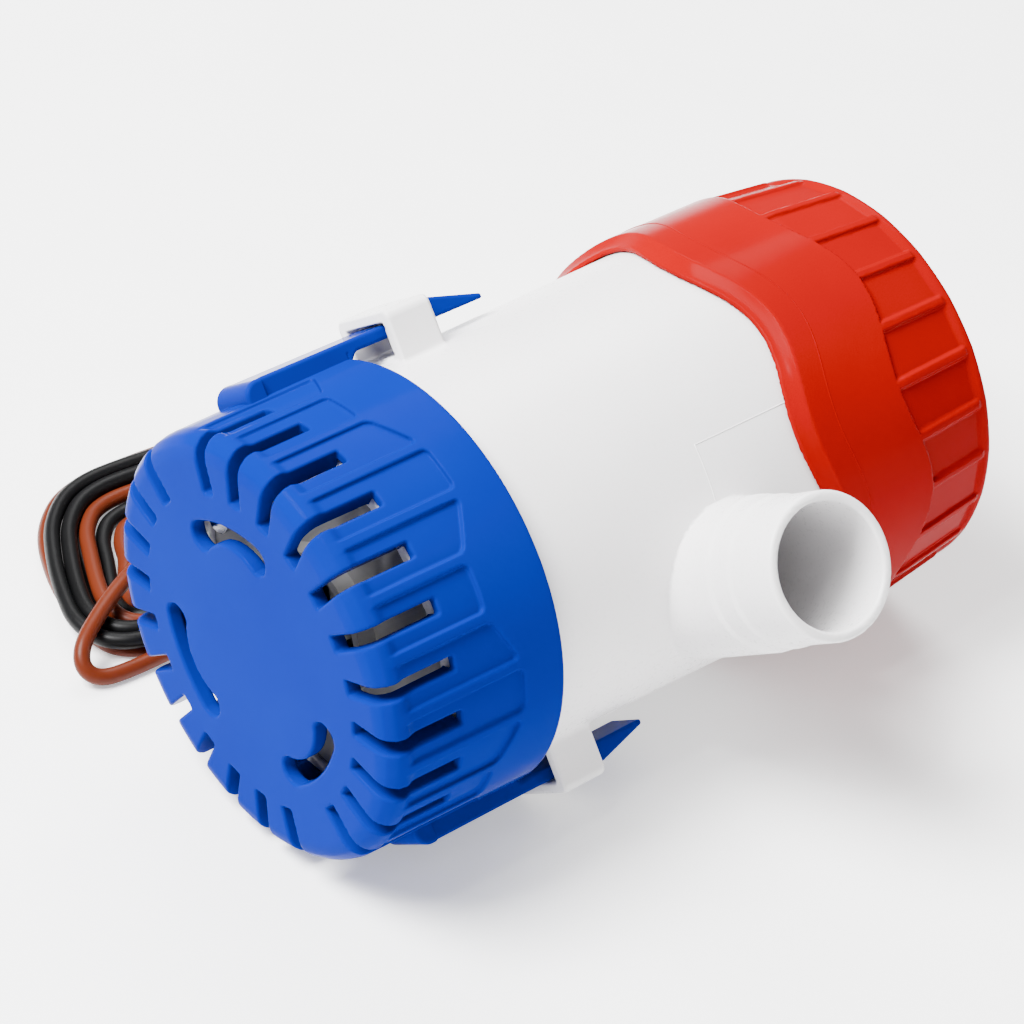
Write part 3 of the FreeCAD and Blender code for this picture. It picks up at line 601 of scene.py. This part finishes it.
def add_mould_lines(materials):
    """The line round the cap where its mould parted, and the inserts' lines on the barrel."""
    round_cap = [
        (turn, CAP_SEAM - CAP_WAVE * math.cos(math.radians(CAP_WAVES * turn)), CAP_RADIUS)
        for turn in range(0, 360, LINE_PITCH)
    ]
    mould_line("cap_seam", round_cap, True, materials["red_plastic"])
    for number, corners in enumerate(BARREL_LINES):
        spots = []
        for (turn, height), (next_turn, next_height) in zip(corners, corners[1:]):
            for share in np.linspace(0, 1, LINE_POINTS):
                level = height + (next_height - height) * share
                radius = HOUSING_RADIUS + (level - HOUSING_START) * HOUSING_TAPER
                spots.append((turn + (next_turn - turn) * share, level, radius))
        mould_line(f"barrel_line_{number}", spots, False, materials["white_plastic"])


# ---- grommet and tie -------------------------------------------------------------------

GROMMET_RADIUS = 4.4
GROMMET_FLANGE = 1.5
GROMMET_RISE = 8.0
GROMMET_NECK_ROUND = 0.1
GROMMET_LOW_ROUND = 0.3
GROMMET_HIGH_ROUND = 0.4
# the nose is narrower than its flange by this much at its foot
NOSE_SHOULDER = 0.5
NOSE_ROUND = 0.5
NOSE_FILLET = 0.5
NOSE_RING = 0.14
NOSE_RING_PITCH = 1.6
# a lead's diameter in metres, and the millimetres between the middles of its two holes
LEAD = 0.0024
LEAD_GAP = 3.2
LEAD_HOLE_EDGE = 0.15


def grommet_field(x, y, z):
    """The rubber grommet: flanges each side of the roof and a ringed nose with two holes."""
    across = x - GROMMET_SPOT[0]
    up = y - GROMMET_SPOT[1]
    r = np.hypot(across, up)
    neck = both(r - GROMMET_NECK, between(z, CAP_ROOF - 1, CAP_HEIGHT + 1), GROMMET_NECK_ROUND)
    under_roof = between(z, CAP_ROOF - GROMMET_FLANGE, CAP_ROOF - GROMMET_CLEARANCE)
    low = both(r - GROMMET_RADIUS, under_roof, GROMMET_LOW_ROUND)
    over_roof = between(z, CAP_HEIGHT + GROMMET_CLEARANCE, CAP_HEIGHT + GROMMET_FLANGE)
    high = both(r - GROMMET_RADIUS, over_roof, GROMMET_HIGH_ROUND)
    top = CAP_HEIGHT + GROMMET_RISE
    lean = (GROMMET_RADIUS - NOSE_SHOULDER - GROMMET_NECK) / (GROMMET_RISE - GROMMET_FLANGE)
    rings = NOSE_RING * np.cos(2 * math.pi * (z - CAP_HEIGHT) / NOSE_RING_PITCH)
    nose = r - (GROMMET_NECK + lean * (top - z)) - rings
    nose = both(nose, between(z, CAP_HEIGHT, top), NOSE_ROUND)
    solid = np.minimum(np.minimum(neck, low), either(high, nose, NOSE_FILLET))
    side = (up - across) / math.sqrt(2)
    out = (across + up) / math.sqrt(2)
    hole = np.hypot(np.abs(side) - LEAD_GAP / 2, out) - LEAD / 2 / MM
    return without(solid, hole, LEAD_HOLE_EDGE)


TIE_MIDDLE = -5.0
TIE_HALF = 2.0
TIE_NEAR = 67.7
TIE_FAR = 84.8
TIE_HEIGHT = 6.4
TIE_WALL = 0.8
TIE_CORNER = 2.4
TIE_INNER_CORNER = 1.7
# the strap is narrower than its head by this much on each side
STRAP_SET_BACK = 0.4
STRAP_EDGE = 0.25
# the ridges across the strap, which are full up to HALF from its middle and gone at END
STRAP_RIDGE = 0.1
STRAP_RIDGE_PITCH = 0.9
STRAP_RIDGE_HALF = 1.0
STRAP_RIDGE_END = 1.3
HEAD_START = 73.0
HEAD_END = 77.5
HEAD_RISE = 1.6
HEAD_ROUND = 0.5
HEAD_FILLET = 0.3


def tie_field(x, y, z):
    """The strap round the hank's far run, in the shared frame's millimetres, with its head."""
    loop = both(between(y, TIE_NEAR, TIE_FAR), between(z, 0.0, TIE_HEIGHT), TIE_CORNER)
    inner = both(between(y, TIE_NEAR + TIE_WALL, TIE_FAR - TIE_WALL),
                 between(z, TIE_WALL, TIE_HEIGHT - TIE_WALL), TIE_INNER_CORNER)
    side = np.abs(x - TIE_MIDDLE)
    ridge = STRAP_RIDGE * np.cos(2 * math.pi * (y + z) / STRAP_RIDGE_PITCH)
    ridge = ridge * ease(-side, -STRAP_RIDGE_END, -STRAP_RIDGE_HALF)
    strap = np.maximum(loop - ridge, -inner)
    strap = both(strap, side - TIE_HALF + STRAP_SET_BACK, STRAP_EDGE)
    head = both(between(y, HEAD_START, HEAD_END),
                between(z, TIE_HEIGHT - TIE_WALL, TIE_HEIGHT + HEAD_RISE), HEAD_ROUND)
    head = both(head, side - TIE_HALF, HEAD_ROUND)
    return either(strap, head, HEAD_FILLET)


# ---- leads -----------------------------------------------------------------------------

# from the grommet's nose down behind the cap to the hank, the same points as the design's
BLACK_ROUTE = (
    (0.0565, 0.02534, 0.03108), (0.0615, 0.0252, 0.0308), (0.0675, 0.0270, 0.0290),
    (0.0725, 0.0315, 0.0250), (0.0745, 0.0385, 0.0190), (0.0740, 0.0465, 0.0130),
    (0.0710, 0.0542, 0.0080), (0.0665, 0.0615, 0.0044), (0.0605, 0.0688, 0.0023),
    (0.0520, 0.0746, 0.0015), (0.0415, 0.0768, 0.0013),
)
BROWN_ROUTE = (
    (0.0565, 0.02490, 0.03425), (0.0620, 0.0248, 0.0340), (0.0690, 0.0266, 0.0322),
    (0.0750, 0.0312, 0.0278), (0.0776, 0.0388, 0.0215), (0.0774, 0.0472, 0.0152),
    (0.0746, 0.0556, 0.0098), (0.0700, 0.0634, 0.0056), (0.0638, 0.0710, 0.0029),
    (0.0550, 0.0770, 0.0016), (0.0435, 0.0793, 0.0013),
)
# the outermost turn, from the far run's right end round the left end and back
TURN = (
    (0.0300, 0.0790), (0.0100, 0.0798), (-0.0100, 0.0803), (-0.0240, 0.0834),
    (-0.0356, 0.0838), (-0.0432, 0.0782), (-0.0478, 0.0702), (-0.0507, 0.0630),
    (-0.0526, 0.0562), (-0.0521, 0.0497), (-0.0476, 0.0460), (-0.0400, 0.0457),
    (-0.0250, 0.0462), (0.0050, 0.0462), (0.0300, 0.0464), (0.0420, 0.0485),
    (0.0485, 0.0560), (0.0494, 0.0640), (0.0465, 0.0730), (0.0395, 0.0780),
)
# the line in the middle of the hank that inner strands move towards: its two ends and its y
SPINE = (-0.030, 0.030, 0.0635)
# far run, its left corner, left end, near run, right end: each one's share of a turn
STATIONS = (0.05, 0.27, 0.40, 0.60, 0.85)
# from one strand to the next, and from one layer to the next
PITCH = 0.0026
LAYER = 0.0022
# each lead's place at every station in turn: strands in from the outside, layers up
BLACK_WINDING = (
    (1, 0), (1.4, 0), (1.75, 0), (2, 0), (2.5, 0),
    (3, 0), (3.2, 0), (3.3, 0), (3.6, 1), (1.75, 2.1),
    (0.5, 1), (0.3, 1.1), (0, 0.9), (1.5, 1), (2.1, 1),
    (1.5, 1), (1.25, 1), (1.0, 1), (2.5, 1),
)
BROWN_WINDING = (
    (-1.2, 0), (-0.1, 0), (0.75, 0), (1, 0), (1.5, 0),
    (2, 0), (2.3, 0.75), (2.4, 0.85), (3, 0), (3.1, 0),
    (4, 0), (4.3, 0), (4.35, 0), (4.3, 0), (4, 1),
    (3.5, 1),
)
# the last stretch of each, given point by point
BLACK_END = (
    (0.0100, 0.0527, 0.0036), (0.0200, 0.0518, 0.0050), (0.0280, 0.0494, 0.0058),
    (0.0345, 0.0462, 0.0044), (0.0400, 0.0440, 0.0022), (0.0440, 0.0432, 0.0013),
    (0.0478, 0.0430, 0.0012),
)
BROWN_END = (
    (-0.0240, 0.0725, 0.0036), (-0.0320, 0.0668, 0.0046), (-0.0390, 0.0595, 0.0060),
    (-0.0455, 0.0562, 0.0064), (-0.0510, 0.0530, 0.0062), (-0.0556, 0.0503, 0.0050),
    (-0.0572, 0.0481, 0.0030), (-0.0556, 0.0462, 0.0014), (-0.0510, 0.0456, 0.0012),
    (-0.0440, 0.0456, 0.0012), (-0.0300, 0.0462, 0.0012), (-0.0100, 0.0462, 0.0012),
    (0.0100, 0.0461, 0.0012), (0.0240, 0.0458, 0.0012), (0.0330, 0.0436, 0.0012),
    (0.0400, 0.0414, 0.0012), (0.0455, 0.0408, 0.0012),
)
# each lead: its route, its winding, the turns it makes, its last stretch and its real length
LEADS = {
    "black": (BLACK_ROUTE, BLACK_WINDING, 3.65, BLACK_END, 0.94),
    "brown": (BROWN_ROUTE, BROWN_WINDING, 3.15, BROWN_END, 0.92),
}
# a strand that crosses the tie's strap rises and falls over this length
LIFT_REACH = 0.008


def tie_lift(x, y):
    """How far a strand on the far run rises to cross the tie's strap."""
    if y < SPINE[2]:
        return 0.0
    return TIE_WALL * MM * math.exp(-((x - TIE_MIDDLE * MM) / LIFT_REACH) ** 2)


def winding(plan, turns):
    """Points of a lead's turns: the outermost turn moved in and up as its plan says."""
    points = []
    marks = [turn + mark for turn in range(len(plan)) for mark in STATIONS][:len(plan)]
    count = len(TURN)
    for step in range(int(turns * count)):
        x, y = TURN[step % count]
        spot = step / count
        strands = np.interp(spot, marks, [strand for strand, _ in plan])
        layers = np.interp(spot, marks, [layer for _, layer in plan])
        low, high, level = SPINE
        inward = Vector((min(max(x, low), high) - x, level - y)).normalized()
        x += inward.x * strands * PITCH
        y += inward.y * strands * PITCH
        points.append((x, y, LEAD / 2 + layers * LAYER + tie_lift(x, y)))
    return points


def lead_curve(name, points, colour):
    """A round insulated lead on one smooth curve."""
    curve = bpy.data.curves.new(f"{name}_lead", "CURVE")
    curve.dimensions = "3D"
    curve.resolution_u = 8
    curve.bevel_depth = LEAD / 2
    curve.bevel_resolution = 5
    curve.use_fill_caps = True
    spline = curve.splines.new("NURBS")
    spline.points.add(len(points) - 1)
    for point, spot in zip(spline.points, points):
        point.co = (*spot, 1.0)
    spline.order_u = 3
    spline.use_endpoint_u = True
    curve.materials.append(colour)
    lead = bpy.data.objects.new(f"{name}_lead", curve)
    bpy.context.scene.collection.objects.link(lead)
    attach(lead, "housing")
    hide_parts(f"lead_{name}", "lead_hank")
    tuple(points[0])


TIP_STRANDS = 7
TIP_TURNS = 1.6
TIP_RINGS = 60
TIP_SIDES = 56
# the radius of the last ring, and of the grooves between the strands, as shares of the full one
TIP_LAST = 0.55
TIP_GROOVE = 0.74
TIP_RIDGE = 0.26


def bare_end(name, material):
    """The stripped end of a lead: strands of wire twisted together."""
    low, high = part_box(f"bare_end_{name}")
    middle = (low + high) / 2
    radius = (high.z - low.z) / 2
    points = []
    for ring in range(TIP_RINGS + 1):
        share = ring / TIP_RINGS
        end = 1.0 if ring < TIP_RINGS else TIP_LAST
        for side in range(TIP_SIDES):
            angle = 2 * math.pi * side / TIP_SIDES
            twist = TIP_STRANDS / 2 * (angle - 2 * math.pi * TIP_TURNS * share)
            reach = radius * end * (TIP_GROOVE + TIP_RIDGE * abs(math.sin(twist)))
            points.append((low.x + (high.x - low.x) * share,
                           middle.y + reach * math.cos(angle),
                           middle.z + reach * math.sin(angle)))
    faces = [tuple(reversed(range(TIP_SIDES)))]
    for ring in range(TIP_RINGS):
        for side in range(TIP_SIDES):
            start = ring * TIP_SIDES
            beside = (side + 1) % TIP_SIDES
            faces.append((start + side, start + beside,
                          start + TIP_SIDES + beside, start + TIP_SIDES + side))
    last = TIP_RINGS * TIP_SIDES
    faces.append(tuple(range(last, last + TIP_SIDES)))
    mesh = bpy.data.meshes.new(f"{name}_strands")
    mesh.from_pydata(points, [], faces)
    mesh.polygons.foreach_set("use_smooth", [len(face) == 4 for face in faces])
    mesh.materials.append(material)
    piece = bpy.data.objects.new(f"{name}_strands", mesh)
    bpy.context.scene.collection.objects.link(piece)
    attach(piece, "housing")
    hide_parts(f"bare_end_{name}")
    return piece


# ---- materials -------------------------------------------------------------------------

# slot: colour, the colour it drifts to, roughness, metal, specular level, grain size in mm,
# grain height in micrometres
FINISHES = {
    "blue_plastic": ((0.0006, 0.010, 0.165), (0.0008, 0.0115, 0.178), 0.13, 0.0, 0.004, 0.5, 1.5),
    "white_plastic": ((0.80, 0.785, 0.79), (0.76, 0.745, 0.75), 0.30, 0.0, 0.25, 0.6, 1.5),
    "red_plastic": ((0.22, 0.0004, 0.0012), (0.20, 0.0003, 0.0010), 0.15, 0.0, 0.010, 0.6, 1.5),
    "grey_plastic": ((0.24, 0.235, 0.235), (0.19, 0.185, 0.185), 0.45, 0.0, 0.25, 0.4, 9),
    "black_plastic": ((0.012, 0.012, 0.013), (0.020, 0.020, 0.021), 0.38, 0.0, 0.25, 0.4, 9),
    "seal_rubber": ((0.010, 0.010, 0.010), (0.018, 0.017, 0.016), 0.62, 0.0, 0.25, 0.25, 14),
    "grommet_rubber": ((0.016, 0.016, 0.016), (0.026, 0.025, 0.024), 0.58, 0.0, 0.25, 0.25, 14),
    "zinc_steel": ((0.60, 0.62, 0.64), (0.46, 0.48, 0.51), 0.34, 1.0, 0.5, 1.2, 8),
    "stainless_steel": ((0.64, 0.63, 0.61), (0.54, 0.53, 0.52), 0.24, 1.0, 0.5, 0.3, 4),
    "lamination_steel": ((0.34, 0.33, 0.33), (0.24, 0.22, 0.21), 0.46, 1.0, 0.5, 0.5, 16),
    "ferrite": ((0.045, 0.043, 0.043), (0.075, 0.070, 0.068), 0.66, 0.0, 0.3, 0.3, 22),
    "sintered_bronze": ((0.46, 0.27, 0.12), (0.34, 0.19, 0.08), 0.50, 1.0, 0.5, 0.15, 20),
    "copper": ((0.78, 0.33, 0.16), (0.60, 0.22, 0.10), 0.30, 1.0, 0.5, 0.4, 8),
    "tinned_copper": ((0.70, 0.67, 0.63), (0.62, 0.50, 0.40), 0.30, 1.0, 0.5, 0.3, 6),
    "carbon": ((0.020, 0.020, 0.021), (0.040, 0.038, 0.038), 0.70, 0.0, 0.3, 0.15, 18),
    "brown_lead": ((0.082, 0.0135, 0.0042), (0.070, 0.0115, 0.0036), 0.38, 0.0, 0.10, 0.35, 9),
    "black_lead": ((0.0015, 0.0015, 0.0017), (0.003, 0.003, 0.0033), 0.42, 0.0, 0.10, 0.35, 9),
}
FLOOR_FINISH = ((0.95, 0.95, 0.95), (0.93, 0.93, 0.93), 0.7, 0.0, 0.1, 3.0, 10)
# the colour's drift: patches to a metre, and the part of the noise that it spans
DRIFT_SCALE = 45.0
DRIFT_DETAIL = 4.0
DRIFT_SPAN = (0.35, 0.65)
# the gloss and the grain share one fine noise; the roughness swings between these shares
GRAIN_DETAIL = 3.0
GLOSS_SPAN = (0.3, 0.7)
GLOSS_SWING = (0.85, 1.15)
GRAIN_STRENGTH = 0.6


def finish(name, colour, drift, rough, metal, specular, grain, height):
    """A material whose colour drifts, whose gloss varies and whose surface has a fine grain."""
    material = bpy.data.materials.new(name)
    material.use_nodes = True
    tree = material.node_tree
    shader = tree.nodes["Principled BSDF"]
    shader.inputs["Metallic"].default_value = metal
    shader.inputs["Specular IOR Level"].default_value = specular
    coordinates = tree.nodes.new("ShaderNodeTexCoord")
    broad = tree.nodes.new("ShaderNodeTexNoise")
    broad.inputs["Scale"].default_value = DRIFT_SCALE
    broad.inputs["Detail"].default_value = DRIFT_DETAIL
    fine = tree.nodes.new("ShaderNodeTexNoise")
    fine.inputs["Scale"].default_value = 1.0 / (grain * MM)
    fine.inputs["Detail"].default_value = GRAIN_DETAIL
    for noise in (broad, fine):
        tree.links.new(coordinates.outputs["Object"], noise.inputs["Vector"])
    mix = tree.nodes.new("ShaderNodeMix")
    mix.data_type = "RGBA"
    mix.inputs["A"].default_value = (*colour, 1.0)
    mix.inputs["B"].default_value = (*drift, 1.0)
    contrast = tree.nodes.new("ShaderNodeMapRange")
    contrast.inputs["From Min"].default_value = DRIFT_SPAN[0]
    contrast.inputs["From Max"].default_value = DRIFT_SPAN[1]
    tree.links.new(broad.outputs["Fac"], contrast.inputs["Value"])
    tree.links.new(contrast.outputs["Result"], mix.inputs["Factor"])
    tree.links.new(mix.outputs["Result"], shader.inputs["Base Color"])
    gloss = tree.nodes.new("ShaderNodeMapRange")
    gloss.inputs["From Min"].default_value = GLOSS_SPAN[0]
    gloss.inputs["From Max"].default_value = GLOSS_SPAN[1]
    gloss.inputs["To Min"].default_value = rough * GLOSS_SWING[0]
    gloss.inputs["To Max"].default_value = rough * GLOSS_SWING[1]
    tree.links.new(fine.outputs["Fac"], gloss.inputs["Value"])
    tree.links.new(gloss.outputs["Result"], shader.inputs["Roughness"])
    bump = tree.nodes.new("ShaderNodeBump")
    bump.inputs["Distance"].default_value = height * 1e-6
    bump.inputs["Strength"].default_value = GRAIN_STRENGTH
    tree.links.new(fine.outputs["Fac"], bump.inputs["Height"])
    tree.links.new(bump.outputs["Normal"], shader.inputs["Normal"])
    return material


def finish_cad_nodes(materials):
    """Gives every carried-over piece the material of its own slot."""
    for part in frame["record"]["subparts"]:
        piece = frame["nodes"][part["node"]]
        for holder in piece.material_slots:
            holder.material = materials[part["material_slot"]]


# ---- floor and light -------------------------------------------------------------------

FLOOR_SIZE = 3.0
FLOOR_GLOW = 0.5
SURROUND_GLOW = 0.45
# each light: where it is, its power, its size
LIGHTS = (
    ((-0.44, 0.20, 0.80), 42.0, 0.45),
    ((0.15, -0.75, 0.55), 0.8, 0.60),
    ((0.35, 0.50, 0.85), 13.0, 0.60),
    ((-0.42, -0.12, 0.85), 2.0, 0.06),
)
AIM = Vector((0.0, 0.02, 0.03))


def add_floor():
    """A pale floor wide enough to fill the view."""
    corners = [(-FLOOR_SIZE, -FLOOR_SIZE, 0), (FLOOR_SIZE, -FLOOR_SIZE, 0),
               (FLOOR_SIZE, FLOOR_SIZE, 0), (-FLOOR_SIZE, FLOOR_SIZE, 0)]
    mesh = bpy.data.meshes.new("floor")
    mesh.from_pydata(corners, [], [(0, 1, 2, 3)])
    material = finish("floor", *FLOOR_FINISH)
    shader = material.node_tree.nodes["Principled BSDF"]
    shader.inputs["Emission Color"].default_value = (1.0, 1.0, 1.0, 1.0)
    shader.inputs["Emission Strength"].default_value = FLOOR_GLOW
    mesh.materials.append(material)
    floor = bpy.data.objects.new("floor", mesh)
    bpy.context.scene.collection.objects.link(floor)


def add_lights():
    """Three large soft lights, one small one and a pale surround."""
    for spot, power, size in LIGHTS:
        light = bpy.data.objects.new("light", bpy.data.lights.new("light", "AREA"))
        light.data.energy = power
        light.data.size = size
        light.location = spot
        light.rotation_euler = (AIM - Vector(spot)).to_track_quat("-Z", "Y").to_euler()
        bpy.context.scene.collection.objects.link(light)
    world = bpy.data.worlds.new("surround")
    world.use_nodes = True
    world.node_tree.nodes["Background"].inputs["Color"].default_value = (1.0, 1.0, 1.0, 1.0)
    world.node_tree.nodes["Background"].inputs["Strength"].default_value = SURROUND_GLOW
    bpy.context.scene.world = world


# ---- the pieces ------------------------------------------------------------------------

# how each is meshed: its lowest and highest corners, the cell and about the most triangles
BASKET_MESH = ((-30.2, -30.2, 0), (30.2, 30.2, 27.5), 0.31, 130000)
BARREL_MESH = ((-28.6, -34.3, 12), (46.2, 34.3, 79), 0.45, 110000)
CAP_MESH = ((-30.8, -30.8, 71.4), (30.8, 30.8, 105.0), 0.36, 110000)
TIE_MESH = ((-7.2, 67.5, 0.0), (-2.8, 85.1, 8.2), 0.2, 12000)
GROMMET_ROOM = 4.6
GROMMET_MESH = ((GROMMET_SPOT[0] - GROMMET_ROOM, GROMMET_SPOT[1] - GROMMET_ROOM, 101.0),
                (GROMMET_SPOT[0] + GROMMET_ROOM, GROMMET_SPOT[1] + GROMMET_ROOM, 113.2),
                0.17, 16000)
# each latch: its name, its side of the pump and how it is meshed
LATCH_MESHES = (
    ("lower", 1, ((-4.6, 27.5, 10.6), (4.6, 34.0, 50.3), 0.22, 16000)),
    ("upper", -1, ((-4.6, -34.0, 10.6), (4.6, -27.5, 50.3), 0.22, 16000)),
)


def add_mouldings(materials):
    """The moulded pieces, meshed from their fields."""
    basket = moulded("basket", basket_field, *BASKET_MESH,
                     materials["blue_plastic"], "blue_plastic")
    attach(basket, "strainer")
    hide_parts("strainer_basket")
    for (name, side, meshing), turn in zip(LATCH_MESHES, LATCH_TURNS):
        latch = moulded(f"latch_{name}_spring", latch_field(turn), *meshing,
                        materials["blue_plastic"], "blue_plastic")
        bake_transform(latch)
        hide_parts(f"latch_arm_{name}", "strainer_basket")
    housing = moulded("barrel", housing_field, *BARREL_MESH,
                      materials["white_plastic"], "white_plastic")
    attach(housing, "housing")
    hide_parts("pump_housing")
    cap = moulded("cap", cap_field, *CAP_MESH, materials["red_plastic"], "red_plastic")
    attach(cap, "housing")
    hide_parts("top_cap")
    grommet = moulded("grommet", grommet_field, *GROMMET_MESH,
                      materials["grommet_rubber"], "grommet_rubber")
    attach(grommet, "housing")
    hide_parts("lead_grommet")


def add_tie(materials):
    """The tie, whose field is in the shared frame's millimetres and not the pump's own."""
    tie = moulded("tie", tie_field, *TIE_MESH, materials["black_plastic"], "black_plastic",
                  Vector(), np.identity(3))
    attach(tie, "housing")
    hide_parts("lead_tie")


def add_leads(materials):
    """Both leads, each with its bare end."""
    for name, (route, plan, turns, end, length) in LEADS.items():
        tip = bare_end(name, materials["tinned_copper"])
        lead_curve(name, [*route, *winding(plan, turns), *end], materials[f"{name}_lead"])


add_camera()
MATERIALS = {slot: finish(slot, *values) for slot, values in FINISHES.items()}
finish_cad_nodes(MATERIALS)
add_mouldings(MATERIALS)
add_mould_lines(MATERIALS)
add_tie(MATERIALS)
add_leads(MATERIALS)
add_floor()
add_lights()
